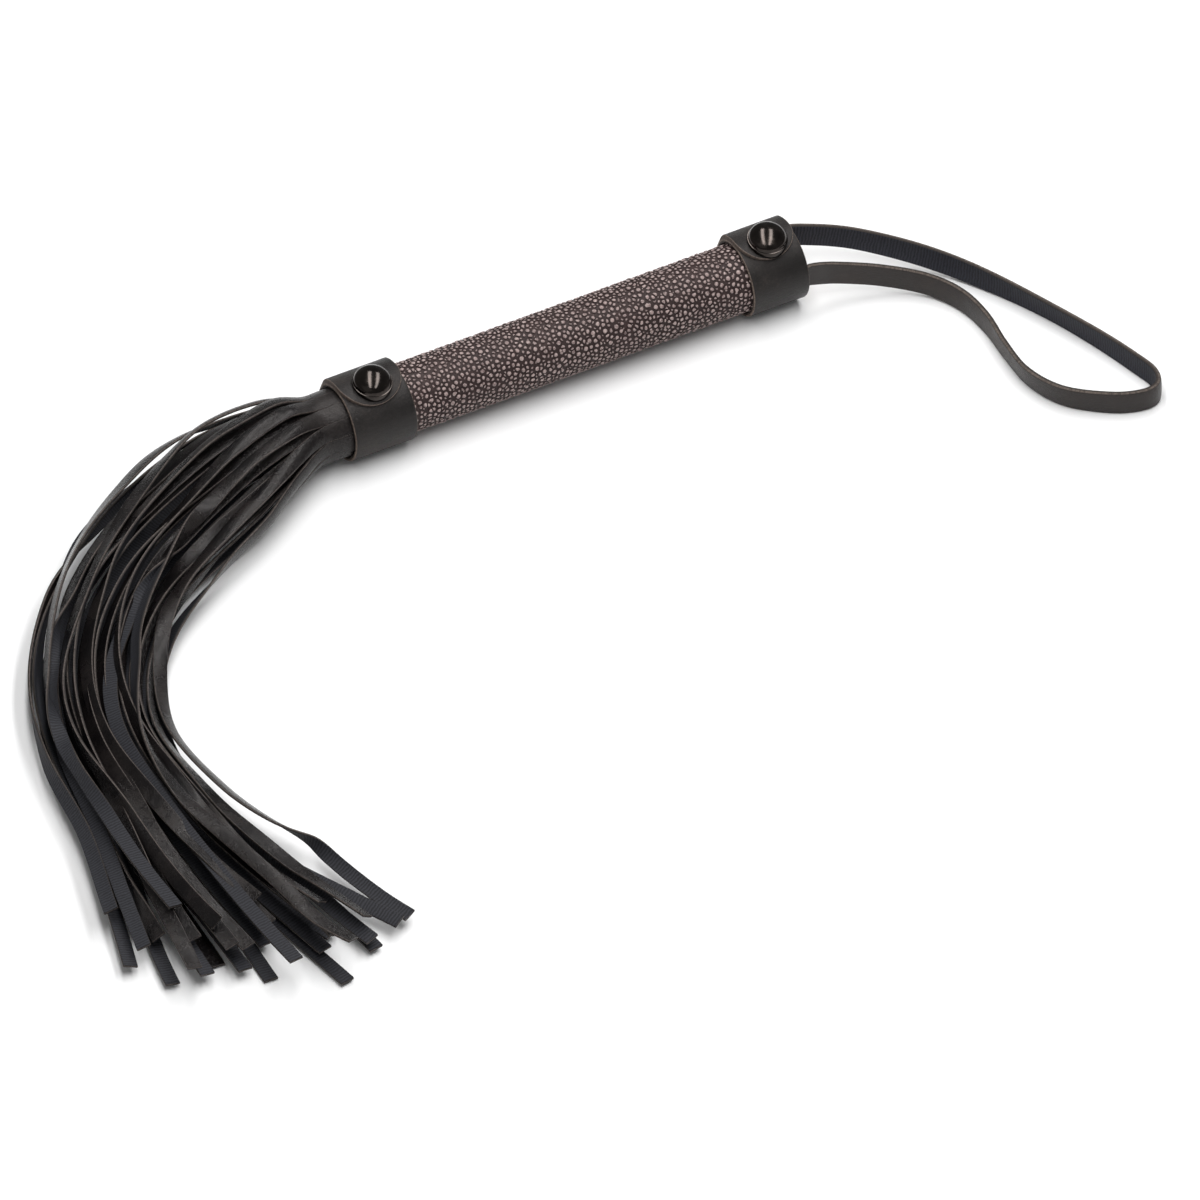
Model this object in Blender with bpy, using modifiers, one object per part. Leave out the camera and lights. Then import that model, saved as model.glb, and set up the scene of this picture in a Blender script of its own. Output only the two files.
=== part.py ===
"""A short many-tailed leather whip, lying on a flat surface.

A wooden dowel carries a pebbled leather wrap. A leather collar closes each end: the tail
collar holds three rolled hides that are slit into falls, and the butt collar holds both
ends of a flat wrist strap. A domed stud with a screw pins the free end of each collar.

Metres, +Z up. +X runs along the handle from the falls to the wrist strap, and the origin
is on the surface, under the middle of the handle and of the hide that shows at its mouth.
"""

import math

import bmesh
import bpy
import numpy as np

# Gaps between pieces that touch on the real object
FIT = 0.0003
HIDE_FIT = 0.0005

# Handle
HANDLE_LENGTH = 0.200
WRAP_RADIUS = 0.0140
WRAP_THICKNESS = 0.0016
WRAP_UNDER_COLLAR = 0.005
ROUND_SIDES = 40

# Collars
COLLAR_THICKNESS = 0.0018
TAIL_COLLAR_LENGTH = 0.027
BUTT_COLLAR_LENGTH = 0.0245
COLLAR_EDGE = 0.0004
FLAP_BITE = 0.0002
FLAP_START = math.radians(-62)
FLAP_ROUND_FROM = math.radians(-2)
FLAP_LAST_ROUND = math.radians(82)
BUTT_RECESS = 0.0025

# Domed studs, turned about the handle towards -Y
STUD_TURN = math.radians(11)
STUD_RADIUS = 0.0080
STUD_RIM = 0.0011
STUD_DOME = 0.0042
SCREW_RADIUS = 0.0015
SCREW_BITE = 0.0075
SCREW_IN_CAP = 0.0022
SCREW_POINT = 0.0020

# Rolled hides: one ring of falls each, from the outside in
HIDE_THICKNESS = 0.0011
HIDE_SHOWS = 0.007
HIDE_INSIDE = 0.019
HIDE_SEAM = 0.0008
HIDE_ROUND = 0.012
RINGS = ("outer", "middle", "inner")
RING_FALLS = (13, 12, 10)
RING_TURN = (0.11, -0.10, 0.06)
RING_SWAY = (0.10, 0.06, 0.03)
RING_WIDE = (1.0, 0.81, 0.61)
RING_HIGH = (1.0, 0.76, 0.51)

# Falls
FALL_WIDTH = 0.0059
FALL_LENGTH = 0.331
FALL_UNEVEN = 0.009
FALL_SHORTER_INSIDE = 0.012
FALL_STATIONS = 25
OPENED_BY = 0.057
SWAY_FROM = 0.050
SWAY_FULL = 0.110

# Middle of the bundle of falls, counted from the handle's mouth: x, y, half width, half
# height and height of the middle, in millimetres
BUNDLE = (
    (-29, -2, 20, 13.6, 16.8),
    (-57, -9, 28, 12.5, 14.4),
    (-91, -24, 29, 10.5, 12.0),
    (-123, -48, 27, 9.0, 10.3),
    (-147, -79, 26, 8.0, 9.3),
    (-160, -115, 26, 7.6, 8.9),
    (-163, -158, 31, 7.4, 8.6),
    (-163.5, -199, 44, 7.2, 8.4),
    (-161, -238, 58, 7.0, 8.2),
    (-157, -278, 72, 7.0, 8.2),
    (-152, -322, 84, 7.0, 8.2),
)

# Wrist strap, standing on its edge; its middle from the butt on, in millimetres, between
# its two straight ends in the collar
STRAP_WIDTH = 0.010
STRAP_THICKNESS = 0.0020
STRAP_INSIDE = 0.0190
STRAP_STRAIGHT = 0.0030
STRAP_STATIONS = 76
STRAP_ROUTE = (
    (9, 11.2, 15.7),
    (27, 4, 12.4),
    (44, -8, 8.8),
    (58, -23, 6.4),
    (70, -42, 5.4),
    (80.5, -64, 5.25),
    (89.5, -87, 5.25),
    (95.5, -106, 5.25),
    (98, -117, 5.25),
    (95.5, -124.5, 5.25),
    (88, -126.5, 5.25),
    (76, -122, 5.25),
    (61.5, -110, 5.25),
    (54.5, -94, 5.25),
    (54, -76, 5.25),
    (55, -58, 5.25),
    (52.5, -42, 5.4),
    (44.5, -29, 6.4),
    (30, -18.5, 8.8),
    (14, -12.8, 12.6),
)

# Tacks that nail the strap's ends to the dowel
TACK_FROM_BUTT = 0.0075
TACK_HEAD_RADIUS = 0.0020
TACK_HEAD = 0.0005
TACK_RADIUS = 0.0007
TACK_BITE = 0.0060

# What follows from the sizes above
MILLIMETRE = 0.001
COLLAR_BORE = WRAP_RADIUS + FIT
COLLAR_RADIUS = COLLAR_BORE + COLLAR_THICKNESS
FLAP_RADIUS = COLLAR_RADIUS + COLLAR_THICKNESS
AXIS_Z = COLLAR_RADIUS
MOUTH_X = (HIDE_SHOWS - HANDLE_LENGTH) / 2
BUTT_X = MOUTH_X + HANDLE_LENGTH
DOWEL_RADIUS = WRAP_RADIUS - WRAP_THICKNESS - FIT
RING_PITCH = HIDE_THICKNESS + HIDE_FIT
RING_RADII = tuple(COLLAR_BORE - FIT - HIDE_THICKNESS / 2 - k * RING_PITCH for k in range(3))
SPIGOT_RADIUS = RING_RADII[2] - HIDE_THICKNESS / 2 - FIT
HIDE_END = MOUTH_X + HIDE_INSIDE
WRAP_ENDS = (HIDE_END + FIT, BUTT_X - BUTT_COLLAR_LENGTH + WRAP_UNDER_COLLAR)
STUD_X = {"tail": MOUTH_X + TAIL_COLLAR_LENGTH / 2, "butt": BUTT_X - BUTT_COLLAR_LENGTH / 2}
STUD_SEAT = FLAP_RADIUS + FIT
STRAP_CHORD = math.sqrt((COLLAR_BORE - FIT) ** 2 - (STRAP_WIDTH / 2) ** 2)
STRAP_OFF_AXIS = STRAP_CHORD - STRAP_THICKNESS / 2
STRAP_BACK = STRAP_OFF_AXIS - STRAP_THICKNESS / 2 - FIT

PARTS = "leather_tail_whip"
CUTTERS = "cutters"


def clear_scene():
    for thing in list(bpy.data.objects):
        bpy.data.objects.remove(thing, do_unlink=True)
    for name in (PARTS, CUTTERS):
        bpy.context.scene.collection.children.link(bpy.data.collections.new(name))


def finish(name, colour, roughness, metallic=0.0):
    material = bpy.data.materials.new(name)
    material.use_nodes = True
    shader = material.node_tree.nodes["Principled BSDF"]
    shader.inputs["Base Color"].default_value = (*colour, 1.0)
    shader.inputs["Roughness"].default_value = roughness
    shader.inputs["Metallic"].default_value = metallic
    return material


def add_object(name, mesh, material=None):
    """Puts a mesh in the scene: a part when it has a material, otherwise a hidden cutter."""
    thing = bpy.data.objects.new(name, mesh)
    bpy.data.collections[PARTS if material else CUTTERS].objects.link(thing)
    if material:
        mesh.materials.append(material)
    else:
        thing.hide_render = True
        thing.display_type = "WIRE"
    return thing


def turned(name, profile, material=None, closed=False, sides=ROUND_SIDES):
    """Turns (radius, height) points, listed down the outer side, about the local Z axis."""
    mesh = bpy.data.meshes.new(name)
    points = [(radius, 0.0, height) for radius, height in profile]
    edges = [(k, k + 1) for k in range(len(points) - 1)]
    if closed:
        edges.append((len(points) - 1, 0))
    mesh.from_pydata(points, edges, [])
    thing = add_object(name, mesh, material)
    screw = thing.modifiers.new("turn", "SCREW")
    screw.axis = "Z"
    screw.steps = screw.render_steps = sides
    screw.use_merge_vertices = True
    screw.merge_threshold = 0.00001
    screw.use_smooth_shade = True
    return thing


def along_handle(thing):
    """Lays a piece that was turned about Z along the handle, its local Z on world X."""
    thing.rotation_euler = (0.0, math.pi / 2, 0.0)
    thing.location = (0.0, 0.0, AXIS_Z)
    return thing


def out_of_handle(thing, x, turn):
    """Points a piece's local Z straight out of the handle at x, turned from +Z towards -Y."""
    thing.rotation_euler = (turn, 0.0, 0.0)
    thing.location = (x, 0.0, AXIS_Z)
    return thing


def sheet(name, surface, along, across, thickness, material=None):
    """An open grid with its points at surface(u, v), given its thickness about its middle."""
    grid = bmesh.new()
    bmesh.ops.create_grid(grid, x_segments=along, y_segments=across, size=0.5)
    for vertex in grid.verts:
        vertex.co = surface(vertex.co.x + 0.5, vertex.co.y + 0.5)
    mesh = bpy.data.meshes.new(name)
    grid.to_mesh(mesh)
    grid.free()
    mesh.shade_smooth()
    thing = add_object(name, mesh, material)
    wall = thing.modifiers.new("wall", "SOLIDIFY")
    wall.thickness = thickness
    wall.offset = 0.0
    return thing


def boolean(thing, other, operation="DIFFERENCE"):
    modifier = thing.modifiers.new(operation.lower(), "BOOLEAN")
    modifier.operation = operation
    modifier.object = other
    modifier.solver = "EXACT"


def pin_cutter(name, radius, low, high):
    """A plain cylinder about local Z, for a hole."""
    return turned(name, ((0, high), (radius, high), (radius, low), (0, low)), sides=16)


def smooth_rows(rows, per_gap):
    """Points on the curve that passes through every row, each step a cubic of four rows."""
    rows = np.array(rows, float)
    padded = np.vstack([2 * rows[0] - rows[1], rows, 2 * rows[-1] - rows[-2]])
    t = np.linspace(0, 1, per_gap, endpoint=False)[:, None]
    pieces = []
    for a, b, c, d in zip(padded, padded[1:], padded[2:], padded[3:]):
        pieces.append(
            0.5 * (2 * b + (c - a) * t + (2 * a - 5 * b + 4 * c - d) * t**2
                   + (3 * b - a - 3 * c + d) * t**3)
        )
    return np.vstack([*pieces, rows[-1:]])


def length_along(points):
    steps = np.linalg.norm(np.diff(points, axis=0), axis=1)
    return np.concatenate([[0.0], np.cumsum(steps)])


def at_lengths(lengths, wanted, values):
    return np.column_stack([np.interp(wanted, lengths, column) for column in values.T])


def eased(values, low, high):
    t = np.clip((values - low) / (high - low), 0, 1)
    return t * t * (3 - 2 * t)


def ribbon(name, middles, across, width, thickness, material):
    """A flat strip through the middles, its width along the across directions."""
    last = len(middles) - 1

    def surface(u, v):
        k = round(u * last)
        return middles[k] + across[k] * ((v - 0.5) * width)

    return sheet(name, surface, last, 1, thickness, material)


def make_dowel(wood):
    """A turned core: a spigot for the hides, a grip, and a butt with slots for the strap."""
    butt_seat = BUTT_X - BUTT_COLLAR_LENGTH + WRAP_UNDER_COLLAR + FIT
    profile = (
        (0, BUTT_X - BUTT_RECESS),
        (WRAP_RADIUS, BUTT_X - BUTT_RECESS),
        (WRAP_RADIUS, butt_seat),
        (DOWEL_RADIUS, butt_seat),
        (DOWEL_RADIUS, HIDE_END + FIT),
        (SPIGOT_RADIUS, HIDE_END + FIT),
        (SPIGOT_RADIUS, MOUTH_X),
        (0, MOUTH_X),
    )
    dowel = along_handle(turned("core_dowel", profile, wood))
    slot_depth = WRAP_RADIUS
    for side in (-1, 1):
        box = bmesh.new()
        bmesh.ops.create_cube(box, size=1.0)
        mesh = bpy.data.meshes.new("strap_slot")
        box.to_mesh(mesh)
        box.free()
        slot = add_object("strap_slot", mesh)
        slot.scale = (2 * (STRAP_INSIDE + FIT), slot_depth, STRAP_WIDTH + 2 * FIT)
        slot.location = (BUTT_X, side * (STRAP_BACK + slot_depth / 2), AXIS_Z)
        boolean(dowel, slot)
    for place in STUD_X.values():
        hole = pin_cutter("dowel_pilot", SCREW_RADIUS + FIT,
                          SPIGOT_RADIUS - SCREW_BITE - FIT, COLLAR_RADIUS)
        boolean(dowel, out_of_handle(hole, place, STUD_TURN))
    for turn in (-math.pi / 2, math.pi / 2):
        hole = pin_cutter("tack_pilot", TACK_RADIUS + FIT,
                          STRAP_BACK - TACK_BITE - FIT, COLLAR_RADIUS)
        boolean(dowel, out_of_handle(hole, BUTT_X - TACK_FROM_BUTT, turn))
    return dowel


def make_wrap(pebbled):
    start, end = WRAP_ENDS
    inner = WRAP_RADIUS - WRAP_THICKNESS
    profile = ((WRAP_RADIUS, end), (WRAP_RADIUS, start), (inner, start), (inner, end))
    return along_handle(turned("handle_wrap", profile, pebbled, closed=True))


def make_collar(which, low, high, leather):
    """A leather ring whose free end lies over it as a half-round flap, with the stud's hole."""
    edge = COLLAR_EDGE
    profile = (
        (COLLAR_RADIUS - edge, high),
        (COLLAR_RADIUS, high - edge),
        (COLLAR_RADIUS, low + edge),
        (COLLAR_RADIUS - edge, low),
        (COLLAR_BORE, low),
        (COLLAR_BORE, high),
    )
    collar = along_handle(turned(f"{which}_collar", profile, leather, closed=True, sides=48))
    middle = (low + high) / 2
    half = (high - low) / 2 - edge
    radius = COLLAR_RADIUS - FLAP_BITE + COLLAR_THICKNESS / 2
    straight = FLAP_ROUND_FROM - FLAP_START
    share = 0.45

    def flap_surface(u, v):
        """Straight to the round end, then as wide as the chord of a half circle."""
        if u <= share:
            angle, wide = FLAP_START + straight * u / share, half
        else:
            swing = FLAP_LAST_ROUND * (u - share) / (1 - share)
            angle = FLAP_ROUND_FROM + half * math.sin(swing) / radius
            wide = half * math.cos(swing)
        x = middle + wide * (2 * v - 1)
        return x, -radius * math.sin(angle), AXIS_Z + radius * math.cos(angle)

    flap = sheet(f"{which}_flap", flap_surface, 20, 2, COLLAR_THICKNESS)
    boolean(collar, flap, "UNION")
    hole = pin_cutter(f"{which}_collar_hole", SCREW_RADIUS + FIT, RING_RADII[0], STUD_SEAT)
    boolean(collar, out_of_handle(hole, middle, STUD_TURN))
    return collar


def make_stud(which, metal, steel):
    """A domed cap, hollowed to sit on the round collar, and the screw that it hides."""
    place = STUD_X[which]
    rim = STUD_SEAT + STUD_RIM
    top = rim + STUD_DOME
    low = COLLAR_BORE
    bore = SCREW_RADIUS + FIT
    bore_top = STUD_SEAT + SCREW_IN_CAP + FIT
    swings = np.radians(np.linspace(0, 84, 8))
    dome = [(STUD_RADIUS * math.sin(a), rim + STUD_DOME * math.cos(a)) for a in swings]
    dome[0] = (0, top)
    profile = (*dome, (STUD_RADIUS, rim), (STUD_RADIUS, low), (bore, low),
               (bore, bore_top), (0, bore_top))
    cap = out_of_handle(turned(f"{which}_stud_cap", profile, metal, sides=32), place, STUD_TURN)
    seat = turned(f"{which}_stud_seat", ((0, 0.5), (STUD_SEAT, 0.5), (STUD_SEAT, -0.5), (0, -0.5)),
                  sides=48)
    boolean(cap, along_handle(seat))
    screw_top = STUD_SEAT + SCREW_IN_CAP
    screw_end = SPIGOT_RADIUS - SCREW_BITE
    screw = turned(
        f"{which}_stud_screw",
        ((0, screw_top), (SCREW_RADIUS, screw_top), (SCREW_RADIUS, screw_end + SCREW_POINT),
         (0, screw_end)),
        steel, sides=16,
    )
    out_of_handle(screw, place, STUD_TURN)


def make_hide(ring, leather):
    """The uncut top of one hide, rolled round the spigot, with its seam underneath."""
    radius = RING_RADII[ring]
    seam = HIDE_SEAM / radius

    def surface(u, v):
        angle = math.pi + seam / 2 + v * (2 * math.pi - seam)
        x = MOUTH_X - HIDE_SHOWS + u * (HIDE_INSIDE + HIDE_SHOWS)
        return x, -radius * math.sin(angle), AXIS_Z + radius * math.cos(angle)

    hide = sheet(f"hide_{RINGS[ring]}", surface, 1, 40, HIDE_THICKNESS, leather)
    hole = pin_cutter("hide_hole", SCREW_RADIUS + FIT, SPIGOT_RADIUS - FIT, COLLAR_RADIUS)
    boolean(hide, out_of_handle(hole, STUD_X["tail"], STUD_TURN))
    return hide


def ring_place(fraction, half_width, half_height):
    """The point at this fraction of an ellipse's outline, from its top, and the outline's
    direction there, for every station at once."""
    t = np.linspace(-math.pi, 3 * math.pi, 241)
    side = half_width[:, None] * np.sin(t)
    up = half_height[:, None] * np.cos(t)
    steps = np.hypot(np.diff(side, axis=1), np.diff(up, axis=1))
    outline = np.concatenate([np.zeros((len(side), 1)), np.cumsum(steps, axis=1)], axis=1)
    wanted = (fraction + 0.5) * outline[:, -1] / 2
    angle = np.array([np.interp(w, row, t) for w, row in zip(wanted, outline)])
    place = np.column_stack([half_width * np.sin(angle), half_height * np.cos(angle)])
    along = np.column_stack([half_width * np.cos(angle), -half_height * np.sin(angle)])
    return place, along / np.linalg.norm(along, axis=1)[:, None]


def fall_route(ring, index):
    """Middles and width directions of one fall. The bundle's section is three nested
    ellipses, round at the mouth, and the fall keeps its place on one of them."""
    mouth = RING_RADII[0]
    closed = ((0, 0, mouth, mouth, AXIS_Z), (-HIDE_ROUND, 0, mouth, mouth, AXIS_Z))
    rows = smooth_rows(np.vstack([closed, np.array(BUNDLE) * MILLIMETRE]), 16)
    middle = rows[:, :2] + (MOUTH_X, 0.0)
    half_width, half_height, height = rows[:, 2], rows[:, 3], rows[:, 4]
    from_mouth = length_along(middle)
    heading = np.gradient(middle, from_mouth, axis=0)
    heading /= np.linalg.norm(heading, axis=1)[:, None]
    opened = eased(from_mouth, HIDE_SHOWS, OPENED_BY)
    closed_share = RING_RADII[ring] / RING_RADII[0]
    wide = half_width * (closed_share + opened * (RING_WIDE[ring] - closed_share))
    high = half_height * (closed_share + opened * (RING_HIGH[ring] - closed_share))
    count = RING_FALLS[ring]
    number = index + sum(RING_FALLS[:ring])
    sway = np.sin(from_mouth * (36 + 5 * (number % 4)) + 2.4 * number)
    sway *= eased(from_mouth, SWAY_FROM, SWAY_FULL) * RING_SWAY[ring] / count
    turn = RING_TURN[ring] * from_mouth / FALL_LENGTH
    place, along = ring_place((index + 0.5 * (ring == 1)) / count + turn + sway, wide, high)
    sideways = np.column_stack([-heading[:, 1], heading[:, 0], np.zeros(len(heading))])
    upwards = np.array([0.0, 0.0, 1.0])
    points = np.column_stack([middle, height]) + sideways * place[:, :1] + upwards * place[:, 1:]
    across = sideways * along[:, :1] + upwards * along[:, 1:]
    lengths = length_along(points)
    start = np.interp(HIDE_SHOWS + FIT, from_mouth, lengths)
    inside = math.sin(2 * math.pi * ((index + 0.5 * (ring == 1)) / count + RING_TURN[ring]))
    uneven = FALL_UNEVEN * math.sin(1.9 * number) - FALL_SHORTER_INSIDE * inside
    wanted = np.linspace(start, start + FALL_LENGTH + uneven, FALL_STATIONS)
    across = at_lengths(lengths, wanted, across)
    return at_lengths(lengths, wanted, points), across / np.linalg.norm(across, axis=1)[:, None]


def make_falls(leather):
    for ring, name in enumerate(RINGS):
        for index in range(RING_FALLS[ring]):
            middles, across = fall_route(ring, index)
            ribbon(f"fall_{name}_{index + 1:02d}", middles, across, FALL_WIDTH,
                   HIDE_THICKNESS, leather)


def make_strap(leather):
    """One flat strap on its edge: in at the far side of the collar and out at the near."""
    straight = np.array([-STRAP_INSIDE, 0.0, STRAP_STRAIGHT])
    ends = [np.column_stack([straight, np.full(3, side * STRAP_OFF_AXIS), np.full(3, AXIS_Z)])
            for side in (1, -1)]
    free = np.array(STRAP_ROUTE) * MILLIMETRE
    rows = smooth_rows(np.vstack([ends[0], free, ends[1][::-1]]), 16) + (BUTT_X, 0, 0)
    lengths = length_along(rows)
    middles = at_lengths(lengths, np.linspace(0, lengths[-1], STRAP_STATIONS), rows)
    across = np.tile((0.0, 0.0, 1.0), (STRAP_STATIONS, 1))
    strap = ribbon("wrist_strap", middles, across, STRAP_WIDTH, STRAP_THICKNESS, leather)
    for turn in (-math.pi / 2, math.pi / 2):
        hole = pin_cutter("strap_hole", TACK_RADIUS + FIT, DOWEL_RADIUS - TACK_BITE, COLLAR_RADIUS)
        boolean(strap, out_of_handle(hole, BUTT_X - TACK_FROM_BUTT, turn))
    return strap


def make_tack(name, turn, steel):
    seat = STRAP_OFF_AXIS + STRAP_THICKNESS / 2 + FIT
    tip = STRAP_BACK - TACK_BITE
    profile = ((0, seat + TACK_HEAD), (TACK_HEAD_RADIUS, seat + TACK_HEAD),
               (TACK_HEAD_RADIUS, seat), (TACK_RADIUS, seat), (TACK_RADIUS, tip + 0.001), (0, tip))
    out_of_handle(turned(name, profile, steel, sides=16), BUTT_X - TACK_FROM_BUTT, turn)


def main():
    clear_scene()
    wood = finish("beech", (0.55, 0.38, 0.22), 0.6)
    pebbled = finish("pebbled_leather", (0.09, 0.07, 0.07), 0.45)
    collar_leather = finish("collar_leather", (0.035, 0.030, 0.030), 0.5)
    fall_leather = finish("fall_leather", (0.020, 0.018, 0.019), 0.45)
    strap_leather = finish("strap_leather", (0.030, 0.026, 0.028), 0.45)
    stud_metal = finish("stud_metal", (0.03, 0.03, 0.035), 0.15, 1.0)
    steel = finish("fixing_steel", (0.5, 0.5, 0.5), 0.35, 1.0)
    make_dowel(wood)
    make_wrap(pebbled)
    make_collar("tail", MOUTH_X, MOUTH_X + TAIL_COLLAR_LENGTH, collar_leather)
    make_collar("butt", BUTT_X - BUTT_COLLAR_LENGTH, BUTT_X, collar_leather)
    make_stud("tail", stud_metal, steel)
    make_stud("butt", stud_metal, steel)
    for ring in range(len(RINGS)):
        make_hide(ring, fall_leather)
    make_falls(fall_leather)
    make_strap(strap_leather)
    make_tack("strap_tack_far", -math.pi / 2, steel)
    make_tack("strap_tack_near", math.pi / 2, steel)


main()
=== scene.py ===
# %% [markdown]
# # A many-tailed leather whip
#
# The whip has a round handle with a pebbled leather sleeve, a leather collar with a domed
# stud at each end, thirty-five flat falls and a flat wrist strap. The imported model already
# holds every piece at its true size. This script gives the pieces their fine shape and
# their finish, and never moves or resizes one.

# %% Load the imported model
import math

import bmesh
import bpy
import numpy as np
from mathutils import Matrix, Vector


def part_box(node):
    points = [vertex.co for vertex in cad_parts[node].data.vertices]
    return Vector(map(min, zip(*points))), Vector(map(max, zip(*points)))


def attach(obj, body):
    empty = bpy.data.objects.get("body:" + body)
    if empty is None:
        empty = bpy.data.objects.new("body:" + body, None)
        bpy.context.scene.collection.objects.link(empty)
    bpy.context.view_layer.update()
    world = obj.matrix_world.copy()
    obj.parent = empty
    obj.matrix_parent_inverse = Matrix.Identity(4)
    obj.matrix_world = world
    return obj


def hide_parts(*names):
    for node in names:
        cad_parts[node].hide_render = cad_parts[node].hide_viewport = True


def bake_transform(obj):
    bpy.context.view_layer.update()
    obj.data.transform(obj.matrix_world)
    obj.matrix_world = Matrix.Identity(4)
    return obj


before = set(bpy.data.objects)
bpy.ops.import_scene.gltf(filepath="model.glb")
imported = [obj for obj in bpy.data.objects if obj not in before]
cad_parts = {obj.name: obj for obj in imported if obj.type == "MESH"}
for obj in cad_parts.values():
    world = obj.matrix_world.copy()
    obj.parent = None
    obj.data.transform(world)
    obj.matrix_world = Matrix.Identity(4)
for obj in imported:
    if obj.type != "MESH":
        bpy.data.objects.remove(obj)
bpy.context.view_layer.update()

MM = 0.001
rng = np.random.default_rng(7)

# %% [markdown]
# ## Where things are
#
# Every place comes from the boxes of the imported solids: the handle lies along X, its axis
# is at the middle height of its sleeve, and the mouth is the tail collar's open end.

# %% Read the places from the frame
def corners(node):
    """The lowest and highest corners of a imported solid, as arrays."""
    low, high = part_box(node)
    return np.array(low), np.array(high)


wrap_low, wrap_high = corners("handle_wrap")
AXIS_Z = (wrap_low[2] + wrap_high[2]) / 2
WRAP_RADIUS = (wrap_high[2] - wrap_low[2]) / 2
tail_low, tail_high = corners("tail_collar")
butt_low, butt_high = corners("butt_collar")
MOUTH_X = tail_low[0]
BUTT_X = butt_high[0]
COLLAR_RADIUS = (tail_high[1] - tail_low[1]) / 2
print(f"handle {1000 * (BUTT_X - MOUTH_X):.0f} mm long, grip {2000 * WRAP_RADIUS:.0f} mm thick")

# %% [markdown]
# ## Camera
#
# The camera stands far away with a long lens, so that the handle keeps its thickness from
# end to end. It looks down at 43 degrees and stands 28 degrees to the left of square to the
# handle. A near camera with a short lens would make the falls' near end swell. It aims to
# one side of the handle and below it, because the falls and the strap both hang that way.

# %% Make the camera
CAMERA_TURN = math.radians(28.2)
CAMERA_TILT = math.radians(43)
CAMERA_FAR = 14.0
VIEW_WIDTH = 0.467
AIM_ASIDE, AIM_BELOW = 0.0138, 0.1012
right = np.array([math.cos(CAMERA_TURN), -math.sin(CAMERA_TURN), 0.0])
forward = np.array([math.sin(CAMERA_TURN), math.cos(CAMERA_TURN), 0.0])
up = math.sin(CAMERA_TILT) * forward + math.cos(CAMERA_TILT) * np.array([0.0, 0.0, 1.0])
back = math.sin(CAMERA_TILT) * np.array([0.0, 0.0, 1.0]) - math.cos(CAMERA_TILT) * forward
handle_middle = np.array([(MOUTH_X + BUTT_X) / 2, 0.0, AXIS_Z])
aim = handle_middle + AIM_ASIDE * right - AIM_BELOW * up

camera_data = bpy.data.cameras.new("camera")
camera_data.sensor_width = 36.0
camera_data.lens = camera_data.sensor_width * CAMERA_FAR / VIEW_WIDTH
camera_data.clip_end = 40.0
camera = bpy.data.objects.new("camera", camera_data)
bpy.context.scene.collection.objects.link(camera)


def stand(thing, place, side, top, away):
    """Puts a camera or a light at a place, looking along minus away, with side to its right."""
    axes = np.column_stack([side, top, away, place])
    thing.matrix_world = Matrix([*axes.tolist(), [0.0, 0.0, 0.0, 1.0]])


stand(camera, aim + CAMERA_FAR * back, right, up, back)
bpy.context.scene.camera = camera
print(f"lens {camera_data.lens:.0f} mm at {CAMERA_FAR} m")

# %% [markdown]
# ## Grids that become meshes
#
# Almost every piece here is a profile carried along a path, so one helper turns a grid of
# points, stations by profile points, into a closed shell, and another puts shells together
# in one object and turns all the faces outwards. Extruding curve objects would be quicker
# to set up, but it gives no say over how a flat strip turns about its own path.

# %% Helpers that make closed meshes
SHARP = math.radians(52)
NEAR_THE_EDGE = 0.93
CORNER_CUT = 0.3
EDGE_MARKS = (0.45, 0.15, -0.15, -0.45)


def loft(grid, ring_path=False):
    """Points and faces of a closed shell from grid[station, profile point]: quads between
    neighbours, the profile always closed, and the path closed too or capped at both ends."""
    stations, around = grid.shape[:2]
    index = np.arange(stations * around).reshape(stations, around)
    first = index if ring_path else index[:-1]
    second = np.roll(index, -1, axis=0) if ring_path else index[1:]
    quads = np.stack(
        [first, np.roll(first, -1, axis=1), np.roll(second, -1, axis=1), second], axis=-1
    ).reshape(-1, 4).tolist()
    caps = [] if ring_path else [index[0][::-1].tolist(), index[-1].tolist()]
    return grid.reshape(-1, 3), quads + caps


def piece(name, shells, marks=None):
    """One object from closed shells, with its faces turned outwards, and for each point a
    mark of three numbers that the materials read: along, across and side."""
    points, faces, count = [], [], 0
    for shell_points, shell_faces in shells:
        faces += [[count + k for k in face] for face in shell_faces]
        points.append(shell_points)
        count += len(shell_points)
    mesh = bpy.data.meshes.new(name)
    mesh.from_pydata(np.concatenate(points).tolist(), [], faces)
    if marks is not None:
        attribute = mesh.attributes.new("marks", "FLOAT_VECTOR", "POINT")
        attribute.data.foreach_set("vector", marks.reshape(-1).astype(np.float32))
    whole = bmesh.new()
    whole.from_mesh(mesh)
    bmesh.ops.recalc_face_normals(whole, faces=whole.faces[:])
    whole.to_mesh(mesh)
    whole.free()
    mesh.shade_smooth()
    mesh.set_sharp_from_angle(angle=SHARP)
    thing = bpy.data.objects.new(name, mesh)
    bpy.context.scene.collection.objects.link(thing)
    return thing


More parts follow.
